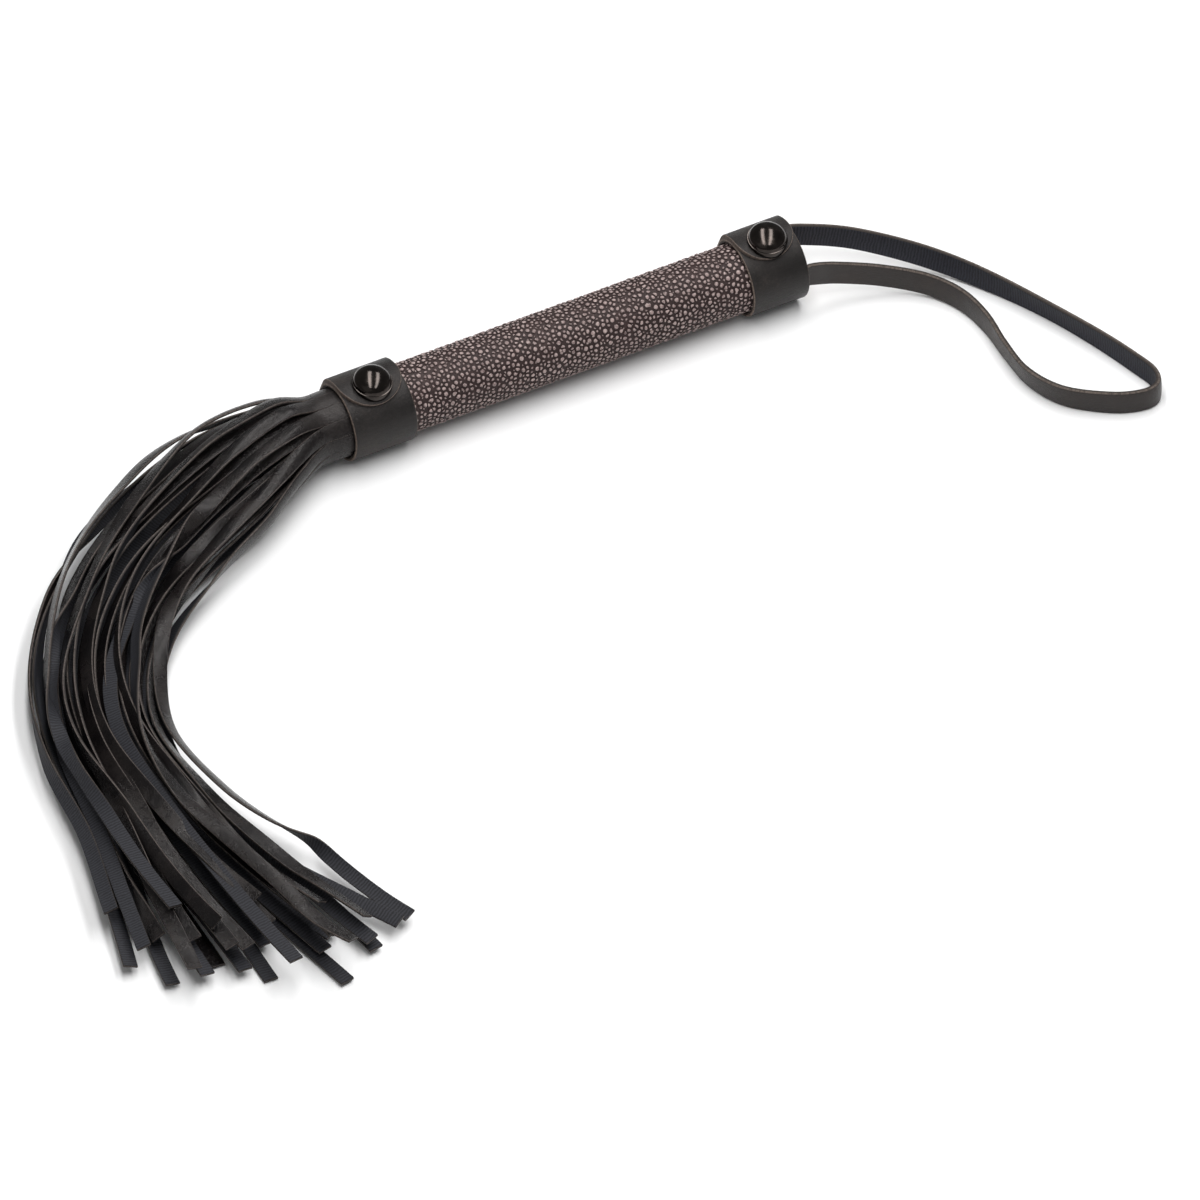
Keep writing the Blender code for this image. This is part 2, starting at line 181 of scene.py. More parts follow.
def strip_profile(half_width, half_thick, corner, across=7):
    """Points round a flat strip's section: the grain side, one rounded edge, the flesh side
    and the other edge. Gives offsets sideways and outwards, each [station, point], and how
    far each point is on the grain side (1), on an edge (near 0) or on the flesh side (-1)."""
    half_width, half_thick, corner = np.broadcast_arrays(half_width, half_thick, corner)
    flat_part = np.concatenate([[-1.0, -NEAR_THE_EDGE], np.linspace(-0.6, 0.6, across - 4),
                                [NEAR_THE_EDGE, 1.0]])
    inset = half_width - corner
    near = CORNER_CUT * corner
    top_side = inset[:, None] * flat_part
    one = np.ones(across)
    edge_side = np.stack([half_width - near, half_width, half_width, half_width - near], axis=1)
    edge_up = np.stack([half_thick - near, half_thick - corner, corner - half_thick,
                        near - half_thick], axis=1)
    sideways = np.concatenate([top_side, edge_side, -top_side, -edge_side], axis=1)
    outwards = np.concatenate([half_thick[:, None] * one, edge_up, -half_thick[:, None] * one,
                               -edge_up], axis=1)
    face = np.concatenate([one, EDGE_MARKS, -one, -np.array(EDGE_MARKS)])
    return sideways, outwards, face


def unit(vectors):
    """Each vector divided by its own length."""
    return vectors / np.linalg.norm(vectors, axis=-1, keepdims=True)


def length_along(points):
    """How far each point is from the first along the path: the sum of the steps so far."""
    steps = np.linalg.norm(np.diff(points, axis=0), axis=1)
    return np.concatenate([[0.0], np.cumsum(steps)])


def at_lengths(lengths, wanted, values):
    """Every column of values, read off in straight lines between stations at these lengths."""
    return np.column_stack([np.interp(wanted, lengths, column) for column in values.T])


def eased(values, low, high):
    """0 below low, 1 above high, with a smooth cubic step between."""
    t = np.clip((values - low) / (high - low), 0, 1)
    return t * t * (3 - 2 * t)


def smooth_rows(rows, per_gap):
    """Points on the curve that passes through every row, each step a cubic of four rows."""
    rows = np.array(rows, float)
    padded = np.vstack([2 * rows[0] - rows[1], rows, 2 * rows[-1] - rows[-2]])
    t = np.linspace(0, 1, per_gap, endpoint=False)[:, None]
    pieces = []
    for a, b, c, d in zip(padded, padded[1:], padded[2:], padded[3:]):
        pieces.append(
            0.5 * (2 * b + (c - a) * t + (2 * a - 5 * b + 4 * c - d) * t**2
                   + (3 * b - a - 3 * c + d) * t**3)
        )
    return np.vstack([*pieces, rows[-1:]])


def squared(middles, across):
    """The width directions made square to the path, and the outward directions with them."""
    heading = unit(np.gradient(middles, axis=0))
    across = unit(across - heading * np.sum(across * heading, axis=1, keepdims=True))
    return across, np.cross(heading, across)


def turned(across, outward, angle):
    """Both directions turned about the path, by the angle given for each station."""
    cosine, sine = np.cos(angle)[:, None], np.sin(angle)[:, None]
    return across * cosine + outward * sine, outward * cosine - across * sine


def carried_along(middles, across, outward, sideways, thick):
    """The grid of a section carried along a path: each middle plus the two directions there,
    times the section's own offsets."""
    return (middles[:, None] + across[:, None] * sideways[:, :, None]
            + outward[:, None] * thick[:, :, None])


def strip_marks(along, sideways, face):
    """What the strip leathers read at each point: the place along and across, and the face."""
    return np.stack([np.broadcast_to(along[:, None], sideways.shape), sideways,
                     np.broadcast_to(face, sideways.shape)], axis=-1)


print("helpers ready")

# %% [markdown]
# ## The path of each fall
#
# Three hides are rolled inside one another, so the falls leave the mouth as three nested
# rings. Further on the bundle sinks and spreads: the rings become flat ellipses that lie
# in one another, and each turns a little as it goes, so falls of one ring cross those of
# the next. On this route a fall stays in its ring and clear of its neighbours. What is added
# further down loosens it, and there falls that cross can cut into each other a little.
# Another way would be a cloth simulation of every fall, which takes minutes and gives a
# slightly different heap with each change of a setting.

# %% The bundle and its rings
RINGS = ("outer", "middle", "inner")
RING_FALLS = (13, 12, 10)
RING_TURN = (0.11, -0.10, 0.06)
RING_SWAY = (0.10, 0.06, 0.03)
RING_WIDE = (1.0, 0.81, 0.61)
RING_HIGH = (1.0, 0.76, 0.51)
RING_RADII = tuple((corners(f"hide_{ring}")[1][1] - corners(f"hide_{ring}")[0][1]) / 2
                   - 0.55 * MM for ring in RINGS)
FALL_THICKNESS = 1.1 * MM
FALL_WIDTH = 5.9 * MM
FALL_LENGTH = 0.331
FALL_UNEVEN = 0.009
FALL_SHORTER_INSIDE = 0.012
HIDE_SHOWS = 7 * MM
ROUND_UNTIL = 12 * MM
OPENED_BY = 57 * MM
SWAY_FROM, SWAY_FULL = 50 * MM, 110 * MM

# Middle of the bundle from the mouth on: x, y, half width, half height and height, in mm
BUNDLE = (
    (-29, -2, 20, 13.6, 16.8),
    (-57, -9, 28, 12.5, 14.4),
    (-91, -24, 29, 10.5, 12.0),
    (-123, -48, 27, 9.0, 10.3),
    (-147, -79, 26, 8.0, 9.3),
    (-160, -115, 26, 7.6, 8.9),
    (-163, -158, 31, 7.4, 8.6),
    (-163.5, -199, 44, 7.2, 8.4),
    (-161, -238, 58, 7.0, 8.2),
    (-157, -278, 72, 7.0, 8.2),
    (-152, -322, 84, 7.0, 8.2),
)


def ring_place(fraction, half_width, half_height):
    """Where this fraction of an ellipse's outline ends, counted from its top, and the
    outline's direction there, for every station at once. The outline is summed in short
    chords, and the wanted share of it is read back by interpolation."""
    t = np.linspace(-math.pi, 3 * math.pi, 241)
    side = half_width[:, None] * np.sin(t)
    rise = half_height[:, None] * np.cos(t)
    steps = np.hypot(np.diff(side, axis=1), np.diff(rise, axis=1))
    outline = np.concatenate([np.zeros((len(side), 1)), np.cumsum(steps, axis=1)], axis=1)
    wanted = (fraction + 0.5) * outline[:, -1] / 2
    angle = np.array([np.interp(w, row, t) for w, row in zip(wanted, outline)])
    place = np.column_stack([half_width * np.sin(angle), half_height * np.cos(angle)])
    along = unit(np.column_stack([half_width * np.cos(angle), -half_height * np.sin(angle)]))
    return place, along, np.cos(angle)


def fall_route(ring, index):
    """One fall's middles, its width directions, its outward directions, how near the top of
    its ring it is, and the distance from the mouth, all for closely spaced stations."""
    mouth = RING_RADII[0]
    closed = ((MM, 0, mouth, mouth, AXIS_Z), (-ROUND_UNTIL / 2, 0, mouth, mouth, AXIS_Z),
              (-ROUND_UNTIL, 0, mouth, mouth, AXIS_Z))
    rows = smooth_rows(np.vstack([closed, np.array(BUNDLE) * MM]), 24)
    middle = rows[:, :2] + (MOUTH_X, 0.0)
    half_width, half_height, height = rows[:, 2], rows[:, 3], rows[:, 4]
    from_mouth = length_along(middle) - MM
    heading = unit(np.gradient(middle, from_mouth, axis=0))
    opened = eased(from_mouth, HIDE_SHOWS, OPENED_BY)
    closed_share = RING_RADII[ring] / RING_RADII[0]
    wide = half_width * (closed_share + opened * (RING_WIDE[ring] - closed_share))
    high = half_height * (closed_share + opened * (RING_HIGH[ring] - closed_share))
    count = RING_FALLS[ring]
    number = index + sum(RING_FALLS[:ring])
    sway = np.sin(from_mouth * (36 + 5 * (number % 4)) + 2.4 * number)
    sway *= eased(from_mouth, SWAY_FROM, SWAY_FULL) * RING_SWAY[ring] / count
    turn = RING_TURN[ring] * np.clip(from_mouth, 0, None) / FALL_LENGTH
    place, along, topness = ring_place((index + 0.5 * (ring == 1)) / count + turn + sway, wide, high)
    sideways = np.column_stack([-heading[:, 1], heading[:, 0], np.zeros(len(heading))])
    upwards = np.array([0.0, 0.0, 1.0])
    points = np.column_stack([middle, height]) + sideways * place[:, :1] + upwards * place[:, 1:]
    across = sideways * along[:, :1] + upwards * along[:, 1:]
    return points, across, topness, from_mouth


print("bundle of", sum(RING_FALLS), "falls")

# %% [markdown]
# ## Loosening the falls
#
# Falls that kept to their rings would look combed. Each one is therefore pushed off its ring
# and turned about its own path. Every effect is a size, mostly one for each ring, times an
# eased step over a stretch of the fall, so that none sets in with a kink.

# %% The sizes and the stretches
ON_EDGE = (math.radians(74), math.radians(70), math.radians(52))
TWIST = (math.radians(40), math.radians(26), math.radians(12))
WANDER = (5.0 * MM, 2.2 * MM, 1.0 * MM)
LAYER_WANDER = (0.45, 0.8, 1.2)
END_DRIFT = (20 * MM, 13 * MM, 5 * MM)
SHOULDER = (3.2 * MM, 1.6 * MM, 0.6 * MM)
FILLING = (-0.6 * MM, 2.6 * MM, 1.2 * MM)
FAN_OUT = (6.0 * MM, 9.0 * MM, 6.0 * MM)
FOLDED = (85.0, 50.0, 20.0)
LOOSE_CUP = (-35, 20)
LAYER = 1.3 * MM
TURNED_OVER = {(0, 6): 0.190, (0, 9): 0.110, (0, 10): 0.205,
               (1, 1): 0.120, (1, 10): 0.160}
SLOW = (13, 27)

# The stretches of a fall, in metres from the mouth, over which each effect sets in or ends
SLIT_OPENS = (HIDE_SHOWS - MM, HIDE_SHOWS + 16 * MM)
TWIST_STARTS = (12 * MM, 60 * MM)
LAYERS_PART = (14 * MM, 55 * MM)
LAYERS_SETTLE = (0.27, 0.34)
WANDER_STARTS = (18 * MM, 80 * MM)
DRIFT_STARTS = (0.14, 0.35)
SHOULDER_RISES, SHOULDER_ENDS = (7 * MM, 24 * MM), (48 * MM, 95 * MM)
FILLING_STARTS, FILLING_ENDS = (22 * MM, 50 * MM), (0.17, 0.24)
FAN_STARTS = (0.20, 0.36)
EDGE_STARTS, EDGE_ENDS = (65 * MM, 130 * MM), (0.205, 0.30)
FOLD_ENDS = (35 * MM, 110 * MM)
TURN_HALF = 28 * MM
print(len(TURNED_OVER), "falls turn over")

# %% [markdown]
# A fall is pushed three ways. Sideways it wanders in slow waves and drifts near its end.
# Outwards it is lifted by the layer it lies in, and by the shoulder, where all the falls
# bulge close to the mouth. And it is pushed out level, never up or down, by the filling on
# the outside of the bend and by the fan, which spreads the low falls near their ends.

# %% Push a fall off its ring
def slow_waves(distance):
    """Two sines of random phase and pitch, the second shorter and weaker, between -1 and 1."""
    phase = rng.uniform(0, 2 * math.pi, 2)
    pitch = rng.uniform(*SLOW, 2) * (1.0, 2.1)
    waves = np.sin(distance[:, None] * pitch + phase) @ (0.66, 0.34)
    return np.tanh(1.9 * waves)


def sideways_push(ring, layer, inside, topness, distance):
    """Slow waves, weaker at the sides of the bundle than in its middle, and a drift that
    takes each layer its own way. Only falls on top move, because the rest are held."""
    wander = slow_waves(distance) * eased(distance, *WANDER_STARTS)
    wander *= WANDER[ring] * LAYER_WANDER[layer] * (1 - 0.6 * abs(inside))
    towards_inside = (inside - 0.1) * (0.75 if inside > 0 else 0.3)
    drift = (towards_inside, 0.4 * max(inside, 0.0) - 0.15, -(0.35 + inside))[layer]
    wander += END_DRIFT[ring] * drift * rng.uniform(0.5, 1.1) * eased(distance, *DRIFT_STARTS)
    return wander * eased(topness, 0.15, 0.75)


def outward_push(ring, layer, topness, distance):
    """The layer's height, a little less near the end, plus the shoulder, which rises soon
    after the mouth and ends before the bend."""
    loose = eased(distance, *LAYERS_PART) * (1 - 0.2 * eased(distance, *LAYERS_SETTLE))
    shoulder = eased(distance, *SHOULDER_RISES) * (1 - eased(distance, *SHOULDER_ENDS))
    shoulder *= SHOULDER[ring] * rng.uniform(0.25, 1.0) * eased(topness, 0.1, 0.8)
    return layer * LAYER * loose * eased(topness, 0.1, 0.7) + shoulder


def level_push(ring, inside, topness, distance):
    """The filling for falls on the outside of the bend, and the fan for low ones inside it."""
    filling = eased(-inside, 0.1, 0.6) * eased(distance, *FILLING_STARTS)
    filling = filling * (1 - eased(distance, *FILLING_ENDS)) * FILLING[ring]
    fan = FAN_OUT[ring] * eased(inside, 0.35, 0.9) * eased(distance, *FAN_STARTS)
    return filling + fan * (1 - eased(topness, 0.3, 0.8))


print("pushes ready")

# %% [markdown]
# Through the bend the falls stand on edge, because a flat strip bends easily that way only,
# and at the end they lie flat again. They twist a little all along, as leather does, and a
# few turn right over and show their flesh side.
#
# The strip itself has rounded cut edges. Before its slit opens it is a slice of the rolled
# hide, as wide as its share of the roll and curved like it. Past the slit it gets its own
# width, and it is folded like a gutter at first and only slightly cupped further on.

# %% Lean a fall and shape its section
def lean_angle(ring, index, inside, topness, distance):
    """How far the fall is turned about its own path: the share that stands on edge, plus the
    twist, and half a turn for a fall that turns over."""
    bend = eased(distance, *EDGE_STARTS) * (1 - 0.9 * eased(distance, *EDGE_ENDS))
    other_way = -1 if inside > 0.3 and index % 2 else 1
    lean = ON_EDGE[ring] * other_way * bend * rng.uniform(0.75, 1.05)
    lean += TWIST[ring] * slow_waves(distance) * eased(distance, *TWIST_STARTS)
    lean *= eased(topness, 0.1, 0.7)
    if (ring, index) in TURNED_OVER:
        middle = TURNED_OVER[ring, index]
        lean = lean * 0.5 + math.pi * eased(distance, middle - TURN_HALF, middle + TURN_HALF)
    return lean


def fall_section(ring, distance):
    """The strip's offsets at each station. The cup adds to the outward offset the square of
    the sideways one, times the curvature wanted there."""
    slit = eased(distance, *SLIT_OPENS)
    share = 2 * math.pi * RING_RADII[ring] / RING_FALLS[ring]
    half_width = (share + slit * (FALL_WIDTH - share)) / 2
    corner = (0.03 + 0.2 * slit) * MM
    cup = -0.5 / RING_RADII[ring] * (1 - slit) + slit * rng.uniform(*LOOSE_CUP)
    cup -= FOLDED[ring] * rng.uniform(0.5, 1.0) * slit * (1 - eased(distance, *FOLD_ENDS))
    sideways, thick, face = strip_profile(half_width, FALL_THICKNESS / 2, corner)
    return sideways, thick + cup[:, None] * sideways**2, face


print("lean and section ready")

# %% [markdown]
# The falls are now made one by one. A fall that leans is lifted by most of what its lower
# edge would sink, so that it stands on the ring below. No point goes below the floor.

# %% Build the falls
FALL_STATIONS = 140
LEVEL = np.array([1, 1, 0])
LIFTED = 0.7
FLOOR_CLEAR = 0.25 * MM
PATTERN_STEP = 0.37


def build_fall(ring, index):
    """The route is resampled evenly by length, pushed off its ring and leaned, and the
    section is carried along it. Gives the piece and its middles."""
    points, across, topness, from_mouth = fall_route(ring, index)
    number = index + sum(RING_FALLS[:ring])
    lengths = length_along(points)
    round_ring = (index + 0.5 * (ring == 1)) / RING_FALLS[ring] + RING_TURN[ring]
    inside = math.sin(2 * math.pi * round_ring)
    uneven = FALL_UNEVEN * math.sin(1.9 * number) - FALL_SHORTER_INSIDE * inside
    end = np.interp(HIDE_SHOWS, from_mouth, lengths) + FALL_LENGTH + uneven
    wanted = np.linspace(0, end, FALL_STATIONS)
    middles, across = at_lengths(lengths, wanted, points), at_lengths(lengths, wanted, across)
    topness, distance = np.interp(wanted, lengths, topness), np.interp(wanted, lengths, from_mouth)
    across, outward = squared(middles, across)
    layer = (2 * index) % 3 if ring == 0 else index % 2
    middles = middles + across * sideways_push(ring, layer, inside, topness, distance)[:, None]
    middles = middles + outward * outward_push(ring, layer, topness, distance)[:, None]
    middles = middles + outward * LEVEL * level_push(ring, inside, topness, distance)[:, None]
    lean = lean_angle(ring, index, inside, topness, distance)
    raised = np.abs(np.sin(lean)) * LIFTED * (FALL_WIDTH - FALL_THICKNESS) / 2
    middles = middles + outward * (raised * eased(topness, 0.1, 0.7))[:, None]
    across, outward = squared(middles, turned(across, outward, lean)[0])
    sideways, thick, face = fall_section(ring, distance)
    grid = carried_along(middles, across, outward, sideways, thick)
    grid[:, :, 2] = np.maximum(grid[:, :, 2], FLOOR_CLEAR)
    marks = strip_marks(wanted + PATTERN_STEP * number, sideways, face)
    return piece(f"fall_{RINGS[ring]}_{index + 1:02d}_strip", [loft(grid)], marks), middles


falls = {}
for ring, ring_name in enumerate(RINGS):
    for index in range(RING_FALLS[ring]):
        falls[f"fall_{ring_name}_{index + 1:02d}"] = build_fall(ring, index)
print(len(falls), "falls,", sum(len(f.data.polygons) for f, _ in falls.values()), "faces")

# %% [markdown]
# ## The rolled tops of the hides
#
# Inside each ring of falls lies the hide's own rolled top, thinner than the falls are
# here, so that it only closes the hairlines between them up to the slits. The falls could
# do without it, but then light would show between them inside the collar's mouth.

# %% Roll the hides
HIDE_HALF = 0.42 * MM
ROLL_STEPS = 96


def roll_profile(radius, half_thick, low, high):
    """A ring's section as four corners, carried round the handle's axis."""
    turn = np.linspace(0, 2 * math.pi, ROLL_STEPS, endpoint=False)
    x = np.array([low, high, high, low])
    r = radius + half_thick * np.array([1, 1, -1, -1])
    return np.stack([np.broadcast_to(x, (ROLL_STEPS, 4)), -np.sin(turn)[:, None] * r,
                     AXIS_Z + np.cos(turn)[:, None] * r], axis=-1)


hides = {}
for ring, ring_name in enumerate(RINGS):
    low, high = corners(f"hide_{ring_name}")
    section = roll_profile(RING_RADII[ring], HIDE_HALF, low[0] + 0.3 * MM, high[0])
    marks = np.stack([section[..., 0], section[..., 1], np.ones(section.shape[:2])], axis=-1)
    hides[f"hide_{ring_name}"] = piece(f"hide_{ring_name}_roll", [loft(section, True)], marks)
print(len(hides), "rolled hides")

# %% [markdown]
# ## The wrist strap
#
# The strap is one length of flat leather on its edge. Both ends are nailed inside the butt
# collar, so it leaves the collar at full height, sinks to the surface and turns back in
# one narrow bend. It leans a little one way and the other, because a strip that is bent
# sideways never stays quite upright. An extruded curve would give its shape sooner, but not
# the lean, and not the marks that tell its grain side from its flesh side.

# %% Build the strap
STRAP_WIDTH = 10 * MM
STRAP_THICKNESS = 2 * MM
STRAP_STATIONS = 320
STRAP_CORNER = 0.38 * MM
STRAP_CUP = 14
STRAP_LOOSENS = (30 * MM, 70 * MM)
STRAP_CLEAR = 0.1 * MM
strap_low, strap_high = corners("wrist_strap")
STRAP_OFF_AXIS = strap_high[1] - STRAP_THICKNESS / 2
STRAP_INSIDE = BUTT_X - strap_low[0]
STRAP_ROUTE = (
    (9, 11.2, 15.7),
    (27, 4, 12.4),
    (44, -8, 8.8),
    (58, -23, 6.4),
    (70, -42, 5.4),
    (80.5, -64, 5.25),
    (89.5, -87, 5.25),
    (95.5, -106, 5.25),
    (98, -117, 5.25),
    (95.5, -124.5, 5.25),
    (88, -126.5, 5.25),
    (76, -122, 5.25),
    (61.5, -110, 5.25),
    (54.5, -94, 5.25),
    (54, -76, 5.25),
    (55, -58, 5.25),
    (52.5, -42, 5.4),
    (44.5, -29, 6.4),
    (30, -18.5, 8.8),
    (14, -12.8, 12.6),
)


def strap_route():
    """Straight in the collar on both sides, and a smooth curve through the route between."""
    straight = np.array([-STRAP_INSIDE, 0.0, 3 * MM])
    ends = [np.column_stack([straight, np.full(3, side * STRAP_OFF_AXIS), np.full(3, AXIS_Z)])
            for side in (1, -1)]
    rows = np.vstack([ends[0], np.array(STRAP_ROUTE) * MM, ends[1][::-1]])
    return smooth_rows(rows, 24) + (BUTT_X, 0, 0)


strap_points = strap_route()
strap_lengths = length_along(strap_points)
STRAP_LENGTH = strap_lengths[-1]
wanted = np.linspace(0, STRAP_LENGTH, STRAP_STATIONS)
strap_middles = at_lengths(strap_lengths, wanted, strap_points)
heading = unit(np.gradient(strap_middles, axis=0))
outward = unit(np.cross(np.array([0.0, 0.0, 1.0]), heading))
upright = np.cross(heading, outward)
free = eased(wanted, *STRAP_LOOSENS) * eased(STRAP_LENGTH - wanted, *STRAP_LOOSENS)
lean = free * (0.10 * np.sin(wanted * 31) + 0.06 * np.sin(wanted * 74 + 1.0))
across, outward = turned(upright, outward, lean)
sideways, thick, face = strip_profile(np.full(STRAP_STATIONS, STRAP_WIDTH / 2),
                                      STRAP_THICKNESS / 2, STRAP_CORNER, across=9)
thick = thick - STRAP_CUP * free[:, None] * sideways**2
grid = carried_along(strap_middles, across, outward, sideways, thick)
grid[:, :, 2] = np.maximum(grid[:, :, 2], STRAP_CLEAR)
strap = piece("wrist_strap_strip", [loft(grid)], strip_marks(wanted, sideways, face))
print(f"strap {1000 * STRAP_LENGTH:.0f} mm long")

# %% [markdown]
# ## The pebbled sleeve
#
# The grip is sleeved in leather with raised granules, like ray skin. Each granule is real
# geometry here, so it catches the light. Their places are a jittered honeycomb on the unrolled
# sleeve. Every granule has a size, and the line between two neighbours lies where the larger
# one takes the larger part, as in a power diagram.

# %% Work out the granules' outlines
SLEEVE_START = tail_high[0] - 2 * MM
SLEEVE_END = butt_low[0] + 2 * MM
PITCH_AROUND, PITCH_ALONG = 2.08 * MM, 1.86 * MM
DIRECTIONS = 8
NEIGHBOURS = 12
SMALL_SHARE = 0.33
JITTER = 0.36
SMALLEST, LARGEST = 0.22 * MM, 1.05 * MM
GAP = 0.72 * MM
GROUND_RADIUS = WRAP_RADIUS - 0.55 * MM


def granule_outlines():
    """The places on the unrolled sleeve and, for each of eight directions, the distance to the
    nearest shared line, rounded by a soft minimum and drawn in by half the gap."""
    around = int(2 * math.pi * WRAP_RADIUS / PITCH_AROUND / 2) * 2
    along = int((SLEEVE_END - SLEEVE_START) / PITCH_ALONG)
    girth = 2 * math.pi * WRAP_RADIUS
    row, column = np.meshgrid(np.arange(along), np.arange(around), indexing="ij")
    x = SLEEVE_START + (row + 0.5) * (SLEEVE_END - SLEEVE_START) / along
    s = (column + 0.5 * (row % 2)) * girth / around
    places = np.stack([x, s], axis=-1).reshape(-1, 2)
    places += rng.uniform(-1, 1, places.shape) * (JITTER * PITCH_ALONG, JITTER * PITCH_AROUND)
    size = np.where(rng.random(len(places)) < SMALL_SHARE, rng.uniform(0.2, 0.6, len(places)),
                    rng.uniform(0.8, 1.5, len(places))) * MM
    away = places[None] - places[:, None]
    away[:, :, 1] = (away[:, :, 1] + girth / 2) % girth - girth / 2
    distance = np.hypot(away[..., 0], away[..., 1])
    near = np.argsort(distance, axis=1)[:, 1:NEIGHBOURS + 1]
    away = np.take_along_axis(away, near[..., None], axis=1)
    distance = np.take_along_axis(distance, near, axis=1)
    shared = (distance**2 + size[:, None] ** 2 - size[near] ** 2) / (2 * distance)
    theta = np.arange(DIRECTIONS) * 2 * math.pi / DIRECTIONS + rng.uniform(0, 6, (len(places), 1))
    toward = (away[:, :, None, 0] * np.cos(theta)[:, None]
              + away[:, :, None, 1] * np.sin(theta)[:, None]) / distance[..., None]
    reach = np.where(toward > 0.05, np.maximum(shared, 0.1 * MM)[..., None]
                     / np.maximum(toward, 0.05), 1.0)
    soft = np.sum(reach**-9.0, axis=1) ** (-1 / 9.0)
    gap = GAP * rng.uniform(0.75, 1.3, (len(places), 1))
    return places, theta, np.clip(soft - gap / 2, SMALLEST, LARGEST)


places, theta, reach = granule_outlines()
print(len(places), f"granules, {2000 * reach.mean():.1f} mm across on average")

# %% [markdown]
# A granule is three outlines, foot, shoulder and top, with a point in the middle of the top
# and one face underneath. That is a few dozen triangles, which matters when a shape is
# repeated thousands of times.

# %% Build the sleeve
RISES = (-0.12, 0.62, 0.93)
SPREADS = (1.0, 0.93, 0.62)


def wrapped(x, s, radius):
    """Rolls flat coordinates, along and around, onto a cylinder about the handle's axis."""
    turn = s / WRAP_RADIUS
    return np.stack([x, -np.sin(turn) * radius, AXIS_Z + np.cos(turn) * radius], axis=-1)


def build_sleeve():
    """Three outlines for every granule, each the reach times a spread and the height times a
    rise, then the middle of its top, and one tube as the ground that all of them stand on."""
    count = len(places)
    height = (0.28 + 0.42 * np.clip(reach.mean(axis=1) / MM, 0, 1)) * MM
    height *= rng.uniform(0.85, 1.1, count)
    rings, marks = [], []
    tone = rng.random(count)
    for rise, spread in zip(RISES, SPREADS):
        x = places[:, :1] + reach * spread * np.cos(theta)
        s = places[:, 1:] + reach * spread * np.sin(theta)
        rings.append(wrapped(x, s, GROUND_RADIUS + (height * rise)[:, None]))
        marks.append(np.stack(np.broadcast_arrays(tone[:, None], rise, s), axis=-1))
    centre = wrapped(places[:, 0], places[:, 1], GROUND_RADIUS + height)
    centre_marks = np.stack([tone, np.ones(count), places[:, 1]], axis=-1)
    points = np.concatenate([*rings, centre[:, None]], axis=1).reshape(-1, 3)
    marks = np.concatenate([*marks, centre_marks[:, None]], axis=1).reshape(-1, 3)
    per = 3 * DIRECTIONS + 1
    k = np.arange(DIRECTIONS)
    following = (k + 1) % DIRECTIONS
    quads = np.concatenate([
        np.stack([k + level, following + level, following + level + DIRECTIONS,
                  k + level + DIRECTIONS], axis=-1)
        for level in (0, DIRECTIONS)
    ])
    tops = np.stack([k + 2 * DIRECTIONS, following + 2 * DIRECTIONS, np.full_like(k, per - 1)], -1)
    start = (np.arange(count) * per)[:, None, None]
    faces = ((quads + start).reshape(-1, 4).tolist() + (tops + start).reshape(-1, 3).tolist()
             + (k[None, ::-1] + start[:, 0]).tolist())
    turn = np.linspace(0, 2 * math.pi * WRAP_RADIUS, 96, endpoint=False)
    rows = np.linspace(SLEEVE_START - MM, SLEEVE_END + MM, 60)
    ground = wrapped(*np.broadcast_arrays(rows[:, None], turn[None]), GROUND_RADIUS)
    ground_marks = np.stack(np.broadcast_arrays(0.5, 0.0, turn[None], rows[:, None])[:3], axis=-1)
    marks = np.concatenate([marks, ground_marks.reshape(-1, 3)])
    return piece("handle_wrap_pebbled", [(points, faces), loft(ground)], marks)


sleeve = build_sleeve()
print(len(sleeve.data.polygons), "faces in the sleeve")

# %% [markdown]
# ## The collars
#
# Each collar is one band of smooth leather with its free end lapped over its start. The
# band below is a ring with rounded edges. The lap is drawn by its outline, which runs along
# one rim, round the half-round end and back along the other rim. The section between the
# middle line and the outline is the same everywhere, so the cut edge stays even. A solid cut
# out with a Boolean would be less work, but its edges could not be rounded so evenly.

# %% Build the collars
COLLAR_THICKNESS = 1.8 * MM
COLLAR_BORE = COLLAR_RADIUS - COLLAR_THICKNESS
LAP_START = math.radians(-62)
LAP_ROUND_FROM = math.radians(-2)
LAP_TOP = COLLAR_RADIUS + 1.7 * MM
LAP_CORNER = 0.42 * MM
LAP_CLIMB = 1.55 * MM
BAND_STEPS = 128
LAP_RUN_STEPS, LAP_ROUND_STEPS = 39, 61


def collar_point(x, turn, radius):
    """A point at this place along the handle, turned from the top towards the front."""
    return np.stack(np.broadcast_arrays(x, -np.sin(turn) * radius, AXIS_Z + np.cos(turn) * radius),
                    axis=-1)


def collar_band(low, high):
    """The band's section, with round edges, carried once round the handle."""
    sideways, thick, face = strip_profile(np.full(BAND_STEPS, (high - low) / 2),
                                          COLLAR_THICKNESS / 2, 0.5 * MM)
    turn = np.linspace(0, 2 * math.pi, BAND_STEPS, endpoint=False)[:, None]
    radius = COLLAR_RADIUS - COLLAR_THICKNESS / 2 + thick
    grid = collar_point((low + high) / 2 + sideways, turn, radius)
    marks = np.stack(np.broadcast_arrays(turn * COLLAR_RADIUS, sideways, face), axis=-1)
    return loft(grid, True), marks.reshape(-1, 3)


